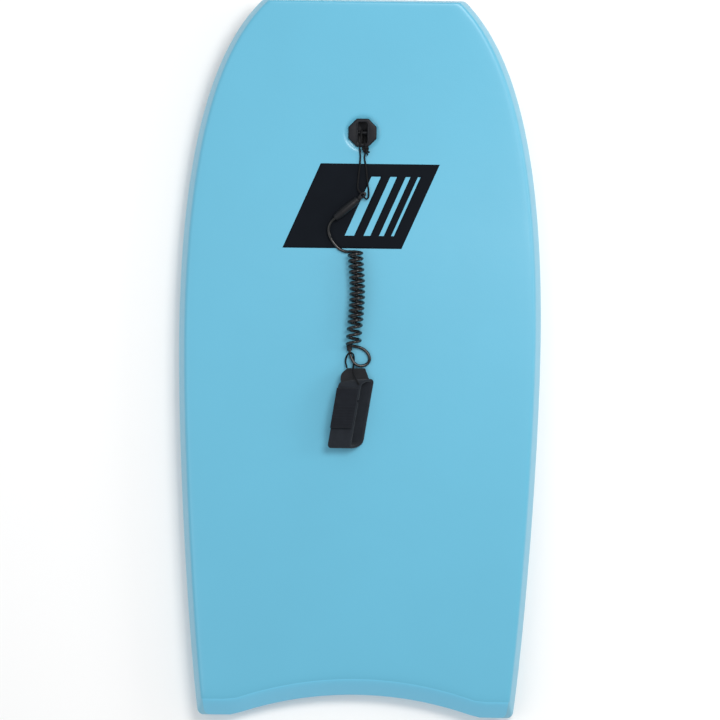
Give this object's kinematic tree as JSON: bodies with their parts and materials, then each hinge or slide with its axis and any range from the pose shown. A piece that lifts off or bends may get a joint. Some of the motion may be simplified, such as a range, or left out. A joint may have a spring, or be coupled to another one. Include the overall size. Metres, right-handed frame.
{
  "type": "bodyboard",
  "caption": "Foam bodyboard with tapered outline, bevelled rails and crescent tail, and a coiled wrist leash with hook-and-loop cuff held by a deck plug.",
  "frame": {"origin": "under the middle of the board, on the surface that its flat slick rests on", "axes": "+Y towards the nose, +X to the right seen from above with the nose up, +Z out of the deck"},
  "size_m": [0.5396, 1.067, 0.0852],
  "materials": {
    "deck_foam": "matte",
    "rail_foam": "matte",
    "core_foam": "matte",
    "slick_plastic": "satin",
    "print_ink": "matte",
    "plug_plastic": "satin",
    "nylon_string": "matte",
    "swivel_plastic": "satin",
    "urethane_cord": "gloss",
    "neoprene": "matte",
    "webbing": "matte",
    "hook_and_loop": "matte"
  },
  "bodies": {
    "board": {"core_right": "core_foam", "core_left": "core_foam", "core_spine_nose": "core_foam", "core_spine_tail": "core_foam", "deck_skin": "deck_foam", "deck_print": "print_ink", "slick_skin": "slick_plastic", "rail_left": "rail_foam", "rail_right": "rail_foam", "nose_bumper": "rail_foam", "tail_bumper": "rail_foam", "plug_body": "plug_plastic", "plug_base_nut": "plug_plastic", "plug_crossbar": "plug_plastic"},
    "leash": {"string_upper": "nylon_string", "string_knot": "nylon_string", "swivel_eye": "swivel_plastic", "cord_lead": "urethane_cord", "cord_coil": "urethane_cord"},
    "swivel": {"swivel_barrel": "swivel_plastic"},
    "wrist_cuff": {"cord_ring": "urethane_cord", "ring_crimp": "swivel_plastic", "string_lower": "nylon_string", "cuff_tab": "webbing", "cuff_band": "neoprene", "cuff_loop_patch": "hook_and_loop"},
    "closure": {"cuff_flap": "neoprene", "cuff_hook_patch": "hook_and_loop"}
  },
  "joints": [
    {"name": "leash_swing", "type": "hinge", "parent": "board", "child": "leash", "pos_m": [0, 0.336, 0.0556], "axis": [0, 0, 1], "range_deg": [-10, 10]},
    {"name": "swivel_spin", "type": "hinge", "parent": "leash", "child": "swivel", "pos_m": [-0.0394, 0.2084, 0.062], "axis": [0.7615, 0.6481, 0], "continuous": true},
    {"name": "leash_stretch", "type": "slide", "parent": "leash", "child": "wrist_cuff", "axis": [0, -1, 0], "range_m": [0, 0.25], "stiffness_N_per_m": 12, "deforming": ["cord_coil"]},
    {"name": "cuff_closure", "type": "hinge", "parent": "wrist_cuff", "child": "closure", "pos_m": [-0.0169, -0.0433, 0.0796], "axis": [-1, 0, 0], "range_deg": [0, 90]}
  ]
}
